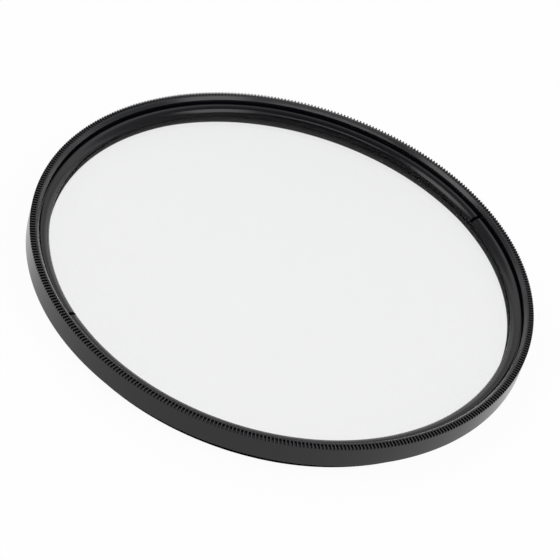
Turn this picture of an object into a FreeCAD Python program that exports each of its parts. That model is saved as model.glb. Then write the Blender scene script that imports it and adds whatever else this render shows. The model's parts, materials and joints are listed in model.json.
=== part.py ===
import FreeCAD, Part
import math
import os

# Ultraviolet lens filter: a black turned ring that screws into the front of a lens,
# a flat glass disc that drops into it from the front, and a slotted ring screwed down on the glass.
# It lies on the end of its rear thread with its front face up.
# The origin is on the optical axis, in the plane of the thread's end, and +Z is the front.

# Driving dimensions, millimetres. Widths run outwards from the glass and heights upwards
# from the thread's end, so the radii and heights beyond a size follow when it changes.

thread_diameter = 77.0
thread_length = 2.1
thread_depth = 0.46
thread_end_chamfer = 0.1

rear_bore_wall = 0.49
rear_bore_depth = 1.22
rear_bore_chamfer = 0.45
seat_lip_width = 0.85
seat_lip_thickness = 0.4

glass_inset = 0.9
glass_thickness = 2.0
glass_edge_chamfer = 0.15
glass_side_clearance = 0.1

retainer_overhang = 0.7
retainer_cover = 0.82
retainer_height = 1.13
retainer_inner_land = 0.35
retainer_flat_width = 0.3
retainer_crown_steps = 5
retainer_edge_chamfer = 0.06
retainer_clearance = 0.04
retainer_relief_depth = 0.17
slot_width = 0.6
slot_floor_above_glass = 0.28
slot_count = 2
slot_azimuth = 43.2

gap_width = 0.3
gap_depth = 0.8
front_recess_depth = 1.0
inner_chamfer = 0.42
front_flat_width = 0.34
shoulder_chamfer = 0.06

knurl_count = 440
knurl_width = 0.72
knurl_drop = 0.06
knurl_groove_depth = 0.3
knurl_set_in = 0.05
knurl_set_down = 0.04

# Radii, from the thread and the glass outwards

thread_radius = thread_diameter / 2
thread_root_radius = thread_radius - thread_depth
rear_bore_radius = thread_root_radius - rear_bore_wall
glass_radius = thread_radius - glass_inset
lip_radius = glass_radius - seat_lip_width
pocket_radius = glass_radius + glass_side_clearance
retainer_inner_radius = glass_radius - retainer_cover
retainer_radius = glass_radius + retainer_overhang
retainer_bore_radius = retainer_radius + retainer_clearance
recess_radius = retainer_radius + gap_width
flat_inner_radius = recess_radius + inner_chamfer
flat_outer_radius = flat_inner_radius + front_flat_width
outer_radius = flat_outer_radius + knurl_width
knurl_radius = outer_radius - knurl_set_in

# Heights, from the end of the thread upwards

shoulder_z = thread_length
lip_rear_z = rear_bore_depth
glass_rear_z = lip_rear_z + seat_lip_thickness
glass_front_z = glass_rear_z + glass_thickness
pocket_top_z = glass_front_z - retainer_relief_depth
slot_floor_z = glass_front_z + slot_floor_above_glass
retainer_top_z = glass_front_z + retainer_height
gap_floor_z = retainer_top_z - gap_depth
front_z = retainer_top_z + front_recess_depth

# The knurl's crests and grooves slope down and outwards along lines through one apex on the axis

knurl_crest_z = front_z - knurl_set_down
knurl_slope = (knurl_drop - knurl_set_down) / (knurl_radius - flat_outer_radius)
knurl_groove_slope = knurl_slope + knurl_groove_depth / knurl_radius
knurl_apex_z = knurl_crest_z + knurl_slope * flat_outer_radius
knurl_foot_z = knurl_apex_z - knurl_groove_slope * knurl_radius - knurl_set_down

# The retaining ring's top is rounded from its flat outer land down to its inner wall:
# the rounding is level where it meets the land

retainer_flat_radius = retainer_radius - retainer_flat_width
retainer_crown_width = retainer_flat_radius - retainer_inner_radius
retainer_crown_drop = retainer_height - retainer_inner_land
retainer_crown_radius = (retainer_crown_width ** 2 + retainer_crown_drop ** 2) / (2 * retainer_crown_drop)


def turned(outline):
    """Turn a closed outline of (radius, height) points about the optical axis."""
    corners = [FreeCAD.Vector(radius, 0, height) for radius, height in outline]
    wire = Part.makePolygon(corners + corners[:1])
    return Part.Face(wire).revolve(FreeCAD.Vector(0, 0, 0), FreeCAD.Vector(0, 0, 1), 360)


def turned_blank():
    """The filter ring before its front corner is knurled: that corner is still square."""
    outside = [
        (thread_radius - thread_end_chamfer, 0),
        (thread_radius, thread_end_chamfer),
        (thread_radius, shoulder_z),
        (outer_radius - shoulder_chamfer, shoulder_z),
        (outer_radius, shoulder_z + shoulder_chamfer),
        (outer_radius, front_z),
    ]
    inside = [
        (flat_inner_radius, front_z),
        (recess_radius, front_z - inner_chamfer),
        (recess_radius, gap_floor_z),
        (retainer_bore_radius, gap_floor_z),
        (retainer_bore_radius, pocket_top_z),
        (pocket_radius, pocket_top_z),
        (pocket_radius, glass_rear_z),
        (lip_radius, glass_rear_z),
        (lip_radius, lip_rear_z),
        (rear_bore_radius, lip_rear_z),
        (rear_bore_radius, rear_bore_chamfer),
        (rear_bore_radius + rear_bore_chamfer, 0),
    ]
    return turned(outside + inside)


def points_around(count, radius, height, first_step=0.0):
    """Points spaced evenly on a circle about the optical axis, the first one moved by a share of a step."""
    step = 2 * math.pi / count
    angles = [step * (index + first_step) for index in range(count)]
    return [FreeCAD.Vector(radius * math.cos(a), radius * math.sin(a), height) for a in angles]


def prism(points, height):
    """A closed polygon pushed straight up."""
    return Part.Face(Part.makePolygon(points + points[:1])).extrude(FreeCAD.Vector(0, 0, height))


def knurl_cone():
    """A pointed star of flat flanks, whose crests and grooves all meet at the apex."""
    base_z = knurl_foot_z - knurl_width
    crest_reach = (knurl_apex_z - base_z) / knurl_slope
    groove_reach = (knurl_apex_z - base_z) / knurl_groove_slope
    grooves = points_around(knurl_count, groove_reach, base_z)
    crests = points_around(knurl_count, crest_reach, base_z, first_step=0.5)
    star = [point for pair in zip(grooves, crests) for point in pair]
    outline = Part.makePolygon(star + star[:1])
    apex = Part.Vertex(0, 0, knurl_apex_z)
    return Part.makeLoft([apex, outline], True, True)


def knurl_waste():
    """What the knurl takes off the square front corner, between the flat face and the band."""
    height = front_z - knurl_foot_z + knurl_width
    foot = FreeCAD.Vector(0, 0, knurl_foot_z)
    collar = Part.makeCylinder(outer_radius + knurl_width, height, foot)
    flat_face = prism(points_around(knurl_count, flat_outer_radius, knurl_foot_z, first_step=0.5), height)
    teeth_foot = prism(points_around(2 * knurl_count, knurl_radius, knurl_foot_z), height)
    return collar.cut(flat_face).cut(teeth_foot.common(knurl_cone()))


def around(shape, count, first_angle):
    """Copies of a shape spaced evenly about the optical axis."""
    copies = []
    for index in range(count):
        turned_copy = shape.copy()
        angle = first_angle + 360.0 * index / count
        turned_copy.rotate(FreeCAD.Vector(0, 0, 0), FreeCAD.Vector(0, 0, 1), angle)
        copies.append(turned_copy)
    return copies


def filter_ring():
    """The mount: knurled corner, plain band, glass seat and rear thread in one turned piece."""
    return turned_blank().cut(knurl_waste())


def glass():
    """The flat disc, with a fine ground edge on both faces."""
    rim = glass_radius - glass_edge_chamfer
    return turned([
        (0, glass_rear_z),
        (rim, glass_rear_z),
        (glass_radius, glass_rear_z + glass_edge_chamfer),
        (glass_radius, glass_front_z - glass_edge_chamfer),
        (rim, glass_front_z),
        (0, glass_front_z),
    ])


def retainer_crown():
    """Points along the rounding of the retaining ring's top, from the flat land to the inner wall."""
    full_angle = math.asin(retainer_crown_width / retainer_crown_radius)
    points = []
    for step in range(retainer_crown_steps + 1):
        angle = full_angle * step / retainer_crown_steps
        radius = retainer_flat_radius - retainer_crown_radius * math.sin(angle)
        points.append((radius, retainer_top_z - retainer_crown_radius * (1 - math.cos(angle))))
    return points


def retaining_ring():
    """The ring that holds the glass down: its top rounds off inwards, with spanner slots cut across it."""
    body = turned([
        (retainer_inner_radius, glass_front_z),
        (retainer_radius, glass_front_z),
        (retainer_radius, retainer_top_z - retainer_edge_chamfer),
        (retainer_radius - retainer_edge_chamfer, retainer_top_z),
        *retainer_crown(),
    ])
    slot_length = retainer_cover + retainer_overhang + 2 * slot_width
    slot = Part.makeBox(slot_length, slot_width, retainer_height)
    slot.translate(FreeCAD.Vector(retainer_inner_radius - slot_width, -slot_width / 2, slot_floor_z))
    return body.cut(around(slot, slot_count, slot_azimuth))


nodes = {
    "filter_ring": filter_ring(),
    "glass": glass(),
    "retaining_ring": retaining_ring(),
}

os.makedirs("parts", exist_ok=True)
for name, shape in nodes.items():
    solid = shape.Solids[0]
    solid.exportStep(f"parts/{name}.step")
    print(f"{name}: {len(shape.Solids)} solid, {solid.Volume:.1f} mm3, valid {solid.isValid()}")
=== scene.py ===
import json
import math

import bmesh
import bpy
from mathutils import Matrix, Vector


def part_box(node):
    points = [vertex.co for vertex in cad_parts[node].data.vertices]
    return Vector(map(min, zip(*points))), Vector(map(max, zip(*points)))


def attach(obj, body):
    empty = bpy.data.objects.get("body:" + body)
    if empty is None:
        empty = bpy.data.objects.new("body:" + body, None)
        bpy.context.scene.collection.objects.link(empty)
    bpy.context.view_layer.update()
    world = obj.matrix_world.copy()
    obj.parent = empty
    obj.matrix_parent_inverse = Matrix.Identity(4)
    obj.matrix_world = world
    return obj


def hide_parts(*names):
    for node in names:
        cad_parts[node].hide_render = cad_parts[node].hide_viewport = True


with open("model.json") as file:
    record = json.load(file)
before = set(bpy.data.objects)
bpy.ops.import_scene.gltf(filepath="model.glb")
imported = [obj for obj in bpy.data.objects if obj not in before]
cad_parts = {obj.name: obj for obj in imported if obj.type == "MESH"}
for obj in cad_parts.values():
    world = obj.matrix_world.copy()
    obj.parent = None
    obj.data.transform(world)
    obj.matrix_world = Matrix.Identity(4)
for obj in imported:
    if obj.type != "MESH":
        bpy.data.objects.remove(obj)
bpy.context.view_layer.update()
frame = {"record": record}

# Filter ring
# One piece of aluminium tube turned on a lathe: recess, glass seat and counterbore inside, plain band
# and fine thread outside. Its front corner is knurled for grip, every edge is broken a little, and
# it is anodised black.

MM = 0.001
TURN = 2 * math.pi

ring_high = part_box("filter_ring")[1]
glass_low, glass_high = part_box("glass")
retainer_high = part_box("retaining_ring")[1]
mounts = {mount["name"]: mount for mount in frame["record"]["mounts"]}

outer_radius = ring_high.x
front_z = ring_high.z
shoulder_z = mounts["shoulder"]["pos_m"][2]
thread_radius = mounts["rear_thread"]["dims"]["r_mm"] * MM
thread_depth = 0.46 * MM
thread_end_chamfer = 0.1 * MM
thread_root_radius = thread_radius - thread_depth

knurl_width = 0.84 * MM
front_flat_width = 0.2 * MM
inner_chamfer = 0.44 * MM
gap_depth = 0.8 * MM
retainer_clearance = 0.04 * MM
retainer_relief_depth = 0.17 * MM
glass_side_clearance = 0.1 * MM
glass_seat_clearance = 0.02 * MM
seat_lip_width = 0.85 * MM
seat_lip_thickness = 0.4 * MM
rear_bore_inset = 0.05 * MM
rear_bore_chamfer = 0.45 * MM
shoulder_rounding = 0.05 * MM
edge_rounding = 0.04 * MM
fine_rounding = 0.02 * MM

flat_outer_radius = outer_radius - knurl_width
flat_inner_radius = flat_outer_radius - front_flat_width
recess_radius = flat_inner_radius - inner_chamfer
retainer_bore_radius = retainer_high.x + retainer_clearance
chamfer_foot_z = front_z - inner_chamfer
gap_floor_z = retainer_high.z - gap_depth
pocket_top_z = glass_high.z - retainer_relief_depth
pocket_radius = glass_high.x + glass_side_clearance
seat_z = glass_low.z - glass_seat_clearance
lip_radius = glass_high.x - seat_lip_width
lip_rear_z = glass_low.z - seat_lip_thickness
rear_bore_radius = glass_high.x - rear_bore_inset

arc_steps = 4


def rounded_outline(corners):
    """Points along (radius, height, rounding) corners; a rounded corner becomes a small arc."""
    points = []
    for index, (radius, height, rounding) in enumerate(corners):
        corner = Vector((radius, height))
        if rounding == 0:
            points.append(corner)
            continue
        back = (Vector(corners[index - 1][:2]) - corner).normalized()
        ahead = (Vector(corners[index + 1][:2]) - corner).normalized()
        half_angle = back.angle(ahead) / 2
        centre = corner + (back + ahead).normalized() * rounding / math.sin(half_angle)
        start = corner + back * rounding / math.tan(half_angle) - centre
        end = corner + ahead * rounding / math.tan(half_angle) - centre
        bend = start.angle_signed(end)
        for step in range(arc_steps + 1):
            turn = bend * step / arc_steps
            points.append(centre + Vector((
                start.x * math.cos(turn) + start.y * math.sin(turn),
                start.y * math.cos(turn) - start.x * math.sin(turn),
            )))
    return points


plain_steps = 880


def on_circle(radius, angle, height):
    """The place at an angle round the optical axis."""
    return radius * math.cos(angle), radius * math.sin(angle), height


def turned_loop(mesh, radius, height, count=plain_steps):
    """A loop of points round the optical axis."""
    return [mesh.verts.new(on_circle(radius, TURN * index / count, height)) for index in range(count)]


def skin(mesh, coarse, fine):
    """Faces between two loops; the finer one has a whole number of points for each of the coarser."""
    share = len(fine) // len(coarse)
    for index, corner in enumerate(coarse):
        following = coarse[(index + 1) % len(coarse)]
        stretch = [fine[(index * share + step) % len(fine)] for step in range(share + 1)]
        mesh.faces.new([corner, following] + stretch[::-1])


def skin_outline(mesh, first_loop, points, last_loop=None):
    """Turned walls through an outline's points, from a loop that is there already."""
    loop = first_loop
    for point in points:
        following = turned_loop(mesh, point.x, point.y, len(first_loop))
        skin(mesh, loop, following)
        loop = following
    if last_loop:
        skin(mesh, loop, last_loop)
    return loop


# The rear thread climbs one pitch a turn, and runs out in a groove of its own depth at the shoulder

thread_pitch = 0.75 * MM
thread_crest_width = 0.1 * MM
thread_root_width = 0.12 * MM
thread_flank_width = (thread_pitch - thread_crest_width - thread_root_width) / 2
thread_runout_length = 0.3 * MM
thread_runout_slope = 1.2
flank_steps = 3
spare_turns = 2


def thread_turn_points():
    """(height, radius) along one turn of the thread's section: crest, flank, root, flank."""
    crest_end = thread_crest_width
    root_end = crest_end + thread_flank_width + thread_root_width
    points = [(0.0, thread_radius)]
    for step in range(flank_steps + 1):
        share = step / flank_steps
        points.append((crest_end + thread_flank_width * share, thread_radius - thread_depth * share))
    for step in range(flank_steps):
        share = step / flank_steps
        points.append((root_end + thread_flank_width * share, thread_root_radius + thread_depth * share))
    return points


def thread_end_loop(mesh):
    """The thread's section where the end face cuts it, once round."""
    section = thread_turn_points() + [(thread_pitch, thread_radius)]
    loop = []
    for index in range(plain_steps):
        height = (-thread_pitch * index / plain_steps) % thread_pitch
        above = next(row for row in range(1, len(section)) if section[row][0] >= height)
        (low, low_radius), (high, high_radius) = section[above - 1], section[above]
        radius = low_radius + (high_radius - low_radius) * (height - low) / (high - low)
        radius = min(radius, thread_radius - thread_end_chamfer)
        loop.append(mesh.verts.new(on_circle(radius, TURN * index / plain_steps, 0)))
    return loop


def add_thread(mesh, end_loop, shoulder_loop):
    """Rows of points that climb round the ring, cut off by the end face and by the shoulder."""
    section = thread_turn_points()
    turns = math.ceil(shoulder_z / thread_pitch) + spare_turns
    rows = [
        (height + (turn - 1) * thread_pitch, radius)
        for turn in range(turns)
        for height, radius in section
    ]
    runout_z = shoulder_z - thread_runout_length

    def column(index):
        climb = thread_pitch * index / plain_steps
        angle = TURN * index / plain_steps
        points = []
        for height, radius in rows:
            height += climb
            if height <= 0:
                points.append(end_loop[index])
            elif height >= shoulder_z:
                points.append(shoulder_loop[index])
            else:
                chamfer = thread_radius - thread_end_chamfer + height
                runout = thread_root_radius + max(0, runout_z - height) * thread_runout_slope
                points.append(mesh.verts.new(on_circle(min(radius, chamfer, runout), angle, height)))
        return points

    columns = [column(index) for index in range(plain_steps)]
    last_column = columns[0][len(section):] + [shoulder_loop[0]] * len(section)
    for left, right in zip(columns, columns[1:] + [last_column]):
        for row in range(len(rows) - 1):
            corners = dict.fromkeys([left[row], right[row], right[row + 1], left[row + 1]])
            if len(corners) > 2:
                mesh.faces.new(list(corners))


# The knurl's flat-topped teeth: each pair is a place across one tooth's pitch, from the middle of a
# groove to the next, and how far down it lies as a share of the groove's depth

knurl_count = 440
knurl_drop = 0.03 * MM
knurl_set_down = 0.01 * MM
knurl_inner_depth = 0.26 * MM
knurl_outer_depth = 0.3 * MM
knurl_margin = 0.06 * MM
tooth_columns = (
    (0.0, 1.0), (0.14, 1.0), (0.2, 0.97), (0.32, 0.1), (0.35, 0.0),
    (0.5, 0.0), (0.65, 0.0), (0.68, 0.1), (0.8, 0.97), (0.86, 1.0),
)
crest_end_z = front_z - knurl_drop


def knurl_loop(mesh, radius, crest_z, depth):
    """A loop that dips into every groove of the knurl."""
    loop = []
    for tooth in range(knurl_count):
        for place, groove_share in tooth_columns:
            angle = TURN * (tooth + place) / knurl_count
            loop.append(mesh.verts.new(on_circle(radius, angle, crest_z - depth * groove_share)))
    return loop


def filter_ring_mesh():
    """One closed surface: band, knurl, front flat, inner walls, end face and thread."""
    band = rounded_outline([
        (thread_root_radius, shoulder_z, 0),
        (outer_radius, shoulder_z, shoulder_rounding),
        (outer_radius, crest_end_z - knurl_outer_depth - knurl_margin, 0),
    ])
    inside = rounded_outline([
        (flat_outer_radius, front_z, 0),
        (flat_inner_radius, front_z, edge_rounding),
        (recess_radius, chamfer_foot_z, edge_rounding),
        (recess_radius, gap_floor_z, fine_rounding),
        (retainer_bore_radius, gap_floor_z, fine_rounding),
        (retainer_bore_radius, pocket_top_z, fine_rounding),
        (pocket_radius, pocket_top_z, fine_rounding),
        (pocket_radius, seat_z, fine_rounding),
        (lip_radius, seat_z, edge_rounding),
        (lip_radius, lip_rear_z, edge_rounding),
        (rear_bore_radius, lip_rear_z, edge_rounding),
        (rear_bore_radius, rear_bore_chamfer, edge_rounding),
        (rear_bore_radius + rear_bore_chamfer, 0, 0),
    ])
    mesh = bmesh.new()
    shoulder_loop = turned_loop(mesh, *band[0])
    flat_loop = turned_loop(mesh, *inside[0])
    end_loop = thread_end_loop(mesh)
    band_top = skin_outline(mesh, shoulder_loop, band[1:])
    knurl_bottom = knurl_loop(mesh, outer_radius, crest_end_z, knurl_outer_depth)
    knurl_top = knurl_loop(mesh, flat_outer_radius, front_z - knurl_set_down, knurl_inner_depth)
    skin(mesh, band_top, knurl_bottom)
    skin(mesh, knurl_bottom, knurl_top)
    skin(mesh, flat_loop, knurl_top)
    skin_outline(mesh, flat_loop, inside[1:], end_loop)
    add_thread(mesh, end_loop, shoulder_loop)
    return mesh


sharp_angle = math.radians(32)


def finished_object(name, mesh):
    """Writes a built mesh into a new object, smooth but for its sharp edges."""
    bmesh.ops.recalc_face_normals(mesh, faces=mesh.faces)
    data = bpy.data.meshes.new(name)
    mesh.to_mesh(data)
    mesh.free()
    data.shade_smooth()
    data.set_sharp_from_angle(angle=sharp_angle)
    piece = bpy.data.objects.new(name, data)
    bpy.context.scene.collection.objects.link(piece)
    weighted = piece.modifiers.new("Even wide faces", "WEIGHTED_NORMAL")
    weighted.keep_sharp = True
    return piece


# Anodising grows a thin dyed glassy layer on the metal: almost no colour of its own, a soft gloss,
# a fine grain from the etch before it, and the faint rings that the lathe tool left below it

cloud_scale = 90.0
cloud_detail = 3.0
cloud_middle = 0.5
cloud_colour_share = 0.5
grain_detail = 2.0
grain_height_share = 0.6
ring_detail = 1.0


def anodised_surface_group():
    """Grain and lathe rings of an anodised part, as a roughness, a height and a faint colour change."""
    group = bpy.data.node_groups.new("Anodised surface", "ShaderNodeTree")
    for name in ("Grain size", "Ring spacing", "Roughness", "Roughness change"):
        group.interface.new_socket(name, in_out="INPUT", socket_type="NodeSocketFloat")
    for name in ("Roughness", "Height", "Colour change"):
        group.interface.new_socket(name, in_out="OUTPUT", socket_type="NodeSocketFloat")
    nodes, links = group.nodes, group.links
    given = nodes.new("NodeGroupInput")
    result = nodes.new("NodeGroupOutput")

    def feed(socket, value):
        """Links a socket to another node's output, or sets it to a plain value."""
        if isinstance(value, bpy.types.NodeSocket):
            links.new(value, socket)
        else:
            socket.default_value = value

    def maths(operation, *values):
        node = nodes.new("ShaderNodeMath")
        node.operation = operation
        for socket, value in zip(node.inputs, values):
            feed(socket, value)
        return node.outputs[0]

    def noise(vector, scale, detail):
        node = nodes.new("ShaderNodeTexNoise")
        feed(node.inputs["Vector"], vector)
        feed(node.inputs["Scale"], scale)
        feed(node.inputs["Detail"], detail)
        return node.outputs["Fac"]

    place = nodes.new("ShaderNodeTexCoord").outputs["Object"]
    split = nodes.new("ShaderNodeSeparateXYZ")
    feed(split.inputs[0], place)
    squares = [maths("POWER", split.outputs[axis], 2.0) for axis in ("X", "Y")]
    section = nodes.new("ShaderNodeCombineXYZ")
    feed(section.inputs["X"], maths("SQRT", maths("ADD", *squares)))
    feed(section.inputs["Y"], split.outputs["Z"])
    grain = noise(place, maths("DIVIDE", 1.0, given.outputs["Grain size"]), grain_detail)
    rings = noise(section.outputs[0], maths("DIVIDE", 1.0, given.outputs["Ring spacing"]), ring_detail)
    cloud = noise(place, cloud_scale, cloud_detail)
    wander = maths("MULTIPLY", maths("SUBTRACT", cloud, cloud_middle), given.outputs["Roughness change"])
    grain_height = maths("MULTIPLY", grain, grain_height_share)
    ring_height = maths("MULTIPLY", rings, 1.0 - grain_height_share)
    grain_colour = maths("MULTIPLY", grain, 1.0 - cloud_colour_share)
    feed(result.inputs["Roughness"], maths("ADD", given.outputs["Roughness"], wander))
    feed(result.inputs["Height"], maths("ADD", grain_height, ring_height))
    feed(result.inputs["Colour change"], maths("MULTIPLY_ADD", cloud, cloud_colour_share, grain_colour))
    return group


anodised_surface = anodised_surface_group()
anodised_values = {
    "Grain size": 0.09 * MM,
    "Ring spacing": 0.12 * MM,
    "Roughness": 0.2,
    "Roughness change": 0.08,
}
anodised_relief = 0.0008 * MM
dyed_dark = (0.002, 0.002, 0.0035)
dyed_light = (0.006, 0.0057, 0.0088)
# A lighter black for the inner chamfer and the knurl's crests: a painted highlight where those edges
# catch the light
painted_highlight_dark = (0.014, 0.014, 0.016)
painted_highlight_light = (0.026, 0.026, 0.029)


def black_anodised(name, dark, light):
    """Dyed anodised aluminium: a black base under a clear glassy layer, with grain and lathe rings."""
    material = bpy.data.materials.new(name)
    material.use_nodes = True
    nodes, links = material.node_tree.nodes, material.node_tree.links
    shader = nodes["Principled BSDF"]
    shader.inputs["Metallic"].default_value = 0.0
    shader.inputs["IOR"].default_value = 1.42
    surface = nodes.new("ShaderNodeGroup")
    surface.node_tree = anodised_surface
    for socket, value in anodised_values.items():
        surface.inputs[socket].default_value = value
    colour = nodes.new("ShaderNodeMix")
    colour.data_type = "RGBA"
    colour.inputs["A"].default_value = (*dark, 1)
    colour.inputs["B"].default_value = (*light, 1)
    links.new(surface.outputs["Colour change"], colour.inputs["Factor"])
    links.new(colour.outputs["Result"], shader.inputs["Base Color"])
    links.new(surface.outputs["Roughness"], shader.inputs["Roughness"])
    bump = nodes.new("ShaderNodeBump")
    bump.inputs["Strength"].default_value = 1.0
    bump.inputs["Distance"].default_value = anodised_relief
    links.new(surface.outputs["Height"], bump.inputs["Height"])
    links.new(bump.outputs["Normal"], shader.inputs["Normal"])
    return material


def matt_black():
    """Sprayed matt black on the walls round the glass, so that they don't mirror light into the lens."""
    material = bpy.data.materials.new("Matt black seat")
    material.use_nodes = True
    shader = material.node_tree.nodes["Principled BSDF"]
    shader.inputs["Base Color"].default_value = (0.004, 0.004, 0.005, 1)
    shader.inputs["Metallic"].default_value = 0.0
    shader.inputs["Roughness"].default_value = 0.65
    shader.inputs["IOR"].default_value = 1.3
    return material


def coat(piece, material, chosen=None):
    """Adds a material to a piece. With a test on a face's middle, it covers the faces that pass it."""
    piece.data.materials.append(material)
    if chosen:
        for face in piece.data.polygons:
            if chosen(face.center):
                face.material_index = len(piece.data.materials) - 1


def on_seat(middle):
    """The pocket, the lip and the counterbore behind it."""
    return middle.xy.length < pocket_radius + glass_side_clearance


def on_painted_highlight_edge(middle):
    """The inner chamfer and the crests of the knurl, which take a lighter black as a painted highlight.
    """
    on_chamfer = recess_radius < middle.xy.length < flat_inner_radius and middle.z > chamfer_foot_z
    on_crest = middle.xy.length > flat_outer_radius and middle.z > crest_end_z
    return on_chamfer or on_crest


matt_seat = matt_black()
turned_ring = finished_object("turned_ring", filter_ring_mesh())
coat(turned_ring, black_anodised("Black anodised ring", dyed_dark, dyed_light))
coat(turned_ring, matt_seat, on_seat)
# The inner chamfer and the knurl's crests get the lighter black, a painted highlight on those edges
coat(turned_ring, black_anodised("Painted highlight on edges", painted_highlight_dark, painted_highlight_light), on_painted_highlight_edge)
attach(turned_ring, "root")
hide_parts("filter_ring")

# Glass
# A flat disc of optical glass dropped into the ring from the front. It is coated on both faces, so
# that it only greys the white behind it a little, and its ground edge is blacked.

glass_steps = 256
glass_rings = 4
glass_edge_chamfer = 0.15 * MM
glass_face_radius = glass_high.x - glass_edge_chamfer


def glass_mesh():
    """Both faces as a few rings of quads round a centre point, joined by the chamfered edge."""
    mesh = bmesh.new()
    rear_centre = mesh.verts.new((0, 0, glass_low.z))
    front_centre = mesh.verts.new((0, 0, glass_high.z))
    radii = [glass_face_radius * ring / glass_rings for ring in range(1, glass_rings + 1)]
    rear = [Vector((radius, glass_low.z)) for radius in radii]
    edge = [
        Vector((glass_high.x, glass_low.z + glass_edge_chamfer)),
        Vector((glass_high.x, glass_high.z - glass_edge_chamfer)),
    ]
    front = [Vector((radius, glass_high.z)) for radius in radii[::-1]]
    first = turned_loop(mesh, *rear[0], glass_steps)
    last = skin_outline(mesh, first, rear[1:] + edge + front)
    for index in range(glass_steps):
        following = (index + 1) % glass_steps
        mesh.faces.new([rear_centre, first[following], first[index]])
        mesh.faces.new([front_centre, last[index], last[following]])
    return mesh


tint_straight_on = (0.858, 0.857, 0.864)
tint_aslant = (0.82, 0.838, 0.822)
shadow_tint = (0.86, 0.86, 0.86)


def coated_glass():
    """Clear glass that mirrors little straight on, and lets most light through to the table below."""
    material = bpy.data.materials.new("Coated glass")
    material.use_nodes = True
    nodes, links = material.node_tree.nodes, material.node_tree.links
    shader = nodes["Principled BSDF"]
    shader.inputs["Metallic"].default_value = 0.0
    shader.inputs["Roughness"].default_value = 0.0
    shader.inputs["IOR"].default_value = 1.5
    shader.inputs["Specular Tint"].default_value = (0.1, 0.1, 0.1, 1)
    shader.inputs["Transmission Weight"].default_value = 1.0
    facing = nodes.new("ShaderNodeLayerWeight")
    facing.inputs["Blend"].default_value = 0.3
    tint = nodes.new("ShaderNodeMix")
    tint.data_type = "RGBA"
    tint.inputs["A"].default_value = (*tint_straight_on, 1)
    tint.inputs["B"].default_value = (*tint_aslant, 1)
    links.new(facing.outputs["Facing"], tint.inputs["Factor"])
    links.new(tint.outputs["Result"], shader.inputs["Base Color"])
    clear = nodes.new("ShaderNodeBsdfTransparent")
    clear.inputs["Color"].default_value = (*shadow_tint, 1)
    path = nodes.new("ShaderNodeLightPath")
    blend = nodes.new("ShaderNodeMixShader")
    links.new(path.outputs["Is Shadow Ray"], blend.inputs["Fac"])
    links.new(shader.outputs[0], blend.inputs[1])
    links.new(clear.outputs[0], blend.inputs[2])
    links.new(blend.outputs[0], nodes["Material Output"].inputs["Surface"])
    return material


def on_glass_edge(middle):
    """The ground edge and its two chamfers."""
    return middle.xy.length > glass_face_radius


glass_disc = finished_object("glass_disc", glass_mesh())
coat(glass_disc, coated_glass())
coat(glass_disc, matt_seat, on_glass_edge)
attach(glass_disc, "root")
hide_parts("glass")

# Retaining ring
# A thin turned ring, anodised like the filter ring and screwed down on the glass with a two-pin
# spanner. Its top rounds off inwards, and the two slots are milled straight across it.

retainer_steps = 720
retainer_cover = 0.82 * MM
retainer_inner_land = 0.35 * MM
retainer_flat_width = 0.3 * MM
retainer_edge_rounding = 0.06 * MM
crown_steps = 12
retainer_inner_radius = glass_high.x - retainer_cover


def crown_points():
    """Corners along the rounding of the top, from the flat land down to the inner wall."""
    flat_radius = retainer_high.x - retainer_flat_width
    width = flat_radius - retainer_inner_radius
    drop = retainer_high.z - glass_high.z - retainer_inner_land
    crown_radius = (width ** 2 + drop ** 2) / (2 * drop)
    full_angle = math.asin(width / crown_radius)
    angles = [full_angle * step / crown_steps for step in range(crown_steps)]
    return [
        (flat_radius - crown_radius * math.sin(a), retainer_high.z - crown_radius * (1 - math.cos(a)), 0)
        for a in angles
    ]


def retainer_mesh():
    """The ring before its slots are milled."""
    outline = rounded_outline([
        (retainer_inner_radius, glass_high.z, 0),
        (retainer_high.x, glass_high.z, fine_rounding),
        (retainer_high.x, retainer_high.z, retainer_edge_rounding),
        *crown_points(),
        (retainer_inner_radius, glass_high.z + retainer_inner_land, edge_rounding),
        (retainer_inner_radius, glass_high.z, 0),
    ])[:-1]
    mesh = bmesh.new()
    first = turned_loop(mesh, *outline[0], retainer_steps)
    skin_outline(mesh, first, outline[1:], first)
    return mesh


slot_width = 0.6 * MM
slot_floor_above_glass = 0.28 * MM
slot_azimuth = math.radians(43.2)
slot_count = 2
bar_faces = ((0, 1, 3, 2), (4, 6, 7, 5), (0, 4, 5, 1), (2, 3, 7, 6), (0, 2, 6, 4), (1, 5, 7, 3))


def slot_cutter():
    """One long bar for each slot, from inside the ring to outside it."""
    mesh = bmesh.new()
    inner = retainer_inner_radius - slot_width
    outer = retainer_high.x + slot_width
    floor = glass_high.z + slot_floor_above_glass
    top = retainer_high.z + slot_width
    for slot in range(slot_count):
        azimuth = slot_azimuth + TURN * slot / slot_count
        along = Vector((math.cos(azimuth), math.sin(azimuth), 0))
        half_width = Vector((-along.y, along.x, 0)) * slot_width / 2
        corners = [
            mesh.verts.new(along * reach + half_width * side + Vector((0, 0, height)))
            for reach in (inner, outer) for side in (-1, 1) for height in (floor, top)
        ]
        for face in bar_faces:
            mesh.faces.new([corners[index] for index in face])
    data = bpy.data.meshes.new("slot_cutter")
    mesh.to_mesh(data)
    mesh.free()
    cutter = bpy.data.objects.new("slot_cutter", data)
    bpy.context.scene.collection.objects.link(cutter)
    return cutter


def mill_slots(piece):
    """Cuts the bars out of the ring, before its normals are evened out."""
    cutter = slot_cutter()
    cut = piece.modifiers.new("Spanner slots", "BOOLEAN")
    cut.object = cutter
    cut.solver = "EXACT"
    piece.modifiers.move(1, 0)
    bpy.context.view_layer.update()
    evaluated = piece.evaluated_get(bpy.context.evaluated_depsgraph_get())
    milled = bpy.data.meshes.new_from_object(evaluated)
    piece.modifiers.clear()
    piece.data = milled
    bpy.data.objects.remove(cutter)


def on_inner_wall(middle):
    """The wall that faces the view through the filter."""
    return middle.xy.length < retainer_inner_radius + edge_rounding / 2


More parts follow.
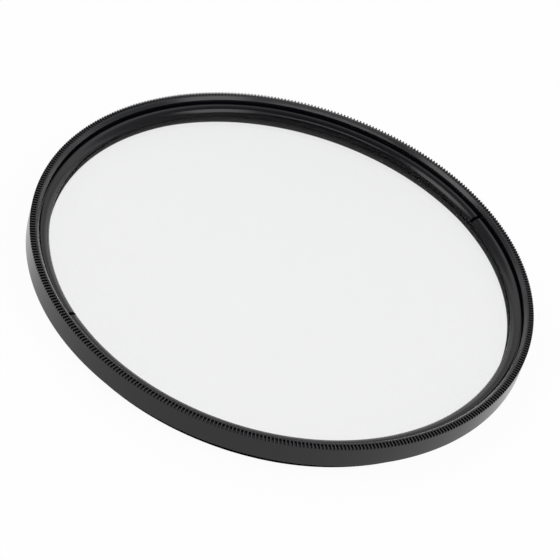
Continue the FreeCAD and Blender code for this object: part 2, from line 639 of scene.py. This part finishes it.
retainer = finished_object("retainer", retainer_mesh())
mill_slots(retainer)
coat(retainer, black_anodised("Black anodised retainer", dyed_dark, dyed_light))
coat(retainer, matt_seat, on_inner_wall)
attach(retainer, "root")
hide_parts("retaining_ring")

# Studio
# A wide white table in a surround that is bright low behind the filter, with one dim strip in it,
# and dark round the camera. Soft boxes at the left, right and front draw the light patches on the
# rounded top of the retaining ring and on the far chamfer.

table_radius = 3.0
table_steps = 96
table_seen_share = 0.95


def white_where_seen(nodes, links, shader, share, other_rays, output):
    """Mixes plain white into a shader for the camera's rays and for other named ones."""
    path = nodes.new("ShaderNodeLightPath")
    seen = path.outputs["Is Camera Ray"]
    for name in other_rays:
        either = nodes.new("ShaderNodeMath")
        either.operation = "MAXIMUM"
        links.new(seen, either.inputs[0])
        links.new(path.outputs[name], either.inputs[1])
        seen = either.outputs[0]
    part = nodes.new("ShaderNodeMath")
    part.operation = "MULTIPLY"
    part.inputs[1].default_value = share
    links.new(seen, part.inputs[0])
    white = nodes.new("ShaderNodeEmission")
    blend = nodes.new("ShaderNodeMixShader")
    links.new(part.outputs[0], blend.inputs["Fac"])
    links.new(shader.outputs[0], blend.inputs[1])
    links.new(white.outputs[0], blend.inputs[2])
    links.new(blend.outputs[0], output.inputs["Surface"])


def white_paper():
    """Matt white paper on the table."""
    material = bpy.data.materials.new("White table")
    material.use_nodes = True
    nodes, links = material.node_tree.nodes, material.node_tree.links
    nodes.remove(nodes["Principled BSDF"])
    matt = nodes.new("ShaderNodeBsdfDiffuse")
    matt.inputs["Color"].default_value = (1, 1, 1, 1)
    rays = ("Is Glossy Ray", "Is Transmission Ray")
    white_where_seen(nodes, links, matt, table_seen_share, rays, nodes["Material Output"])
    return material


table_mesh = bmesh.new()
bmesh.ops.create_circle(table_mesh, cap_ends=True, segments=table_steps, radius=table_radius)
table_data = bpy.data.meshes.new("table")
table_mesh.to_mesh(table_data)
table_mesh.free()
table = bpy.data.objects.new("table", table_data)
bpy.context.scene.collection.objects.link(table)
table.data.materials.append(white_paper())

# The surround's light follows one axis, from low behind the filter to high in front of it: each
# pair is a place along that axis and the strength there

surround_axis = (0, -1, 0.7)
surround_stops = (
    (-1.0, 1.25), (-0.5, 1.25), (-0.39, 0.35), (-0.3, 1.2), (-0.22, 1.4), (0.0, 0.45), (1.0, 0.1),
)


def light_surround():
    """The world: graded light for the object, plain white for the camera and through the glass."""
    world = bpy.data.worlds.new("White surround")
    world.use_nodes = True
    nodes, links = world.node_tree.nodes, world.node_tree.links
    along_axis = nodes.new("ShaderNodeVectorMath")
    along_axis.operation = "DOT_PRODUCT"
    along_axis.inputs[1].default_value = surround_axis
    links.new(nodes.new("ShaderNodeTexCoord").outputs["Generated"], along_axis.inputs[0])
    lowest = surround_stops[0][0]
    highest = surround_stops[-1][0]
    spread = nodes.new("ShaderNodeMapRange")
    spread.inputs["From Min"].default_value = lowest
    spread.inputs["From Max"].default_value = highest
    links.new(along_axis.outputs["Value"], spread.inputs["Value"])
    ramp = nodes.new("ShaderNodeValToRGB")
    ramp.color_ramp.interpolation = "EASE"
    stops = ramp.color_ramp.elements
    for place, _ in surround_stops[1:-1]:
        stops.new((place - lowest) / (highest - lowest))
    for stop, (_, strength) in zip(stops, surround_stops):
        stop.color = (strength, strength, strength, 1)
    links.new(spread.outputs["Result"], ramp.inputs["Fac"])
    background = nodes["Background"]
    links.new(ramp.outputs["Color"], background.inputs["Color"])
    white_where_seen(nodes, links, background, 1.0, ("Is Transmission Ray",), nodes["World Output"])
    return world


bpy.context.scene.world = light_surround()

# Each soft box: the way to it from the filter, the way its length runs, its width and its length

soft_box_distance = 1.0
soft_box_light = 3.0
soft_boxes = {
    "left_soft_box": (Vector((-0.68, -0.28, 0.67)), Vector((0.34, 0.58, 0.62)), 0.42, 0.75),
    "right_soft_box": (Vector((0.63, -0.37, 0.68)), Vector((-0.24, 0.56, 0.58)), 0.42, 0.75),
    "front_soft_box": (Vector((0, -0.6, 0.8)), Vector((1, 0, 0)), 0.16, 0.8),
}
for name, (way, length_way, width, length) in soft_boxes.items():
    lamp = bpy.data.lights.new(name, "AREA")
    lamp.shape = "RECTANGLE"
    lamp.size = width
    lamp.size_y = length
    lamp.energy = soft_box_light * math.pi * width * length
    soft_box = bpy.data.objects.new(name, lamp)
    out = way.normalized()
    side = length_way.cross(out).normalized()
    soft_box.matrix_world = Matrix((side, out.cross(side), out)).transposed().to_4x4()
    soft_box.location = out * soft_box_distance
    bpy.context.scene.collection.objects.link(soft_box)

# Camera
# A long lens looks down on the filter from about ten times its radius. The camera is rolled, so that
# the filter lies aslant, and turned so that the middle of its front face falls on the right pixel.

camera_elevation = math.radians(40.17)
camera_roll = math.radians(17.94)
camera_distance = 398.2 * MM
camera_lens = 165.2
sensor_width = 36.0
picture_width = 560
picture_middle_px = Vector((picture_width / 2, picture_width / 2))
front_centre_px = Vector((285.85, 258.35))

front_centre = Vector((0, 0, front_z))
to_camera = Vector((0, -math.cos(camera_elevation), math.sin(camera_elevation)))
level = Vector((1, 0, 0))
upright = to_camera.cross(level)
rolled_level = level * math.cos(camera_roll) + upright * math.sin(camera_roll)
rolled_upright = upright * math.cos(camera_roll) - level * math.sin(camera_roll)
pixel = sensor_width / picture_width / camera_lens
offset = (front_centre_px - picture_middle_px) * pixel
backward = (to_camera + rolled_level * offset.x - rolled_upright * offset.y).normalized()
right = rolled_upright.cross(backward).normalized()

camera_data = bpy.data.cameras.new("camera")
camera_data.lens = camera_lens
camera_data.sensor_width = sensor_width
camera = bpy.data.objects.new("camera", camera_data)
camera.matrix_world = Matrix((right, backward.cross(right), backward)).transposed().to_4x4()
camera.location = front_centre + to_camera * camera_distance
bpy.context.scene.collection.objects.link(camera)
bpy.context.scene.camera = camera

bpy.context.scene.view_settings.view_transform = "Standard"
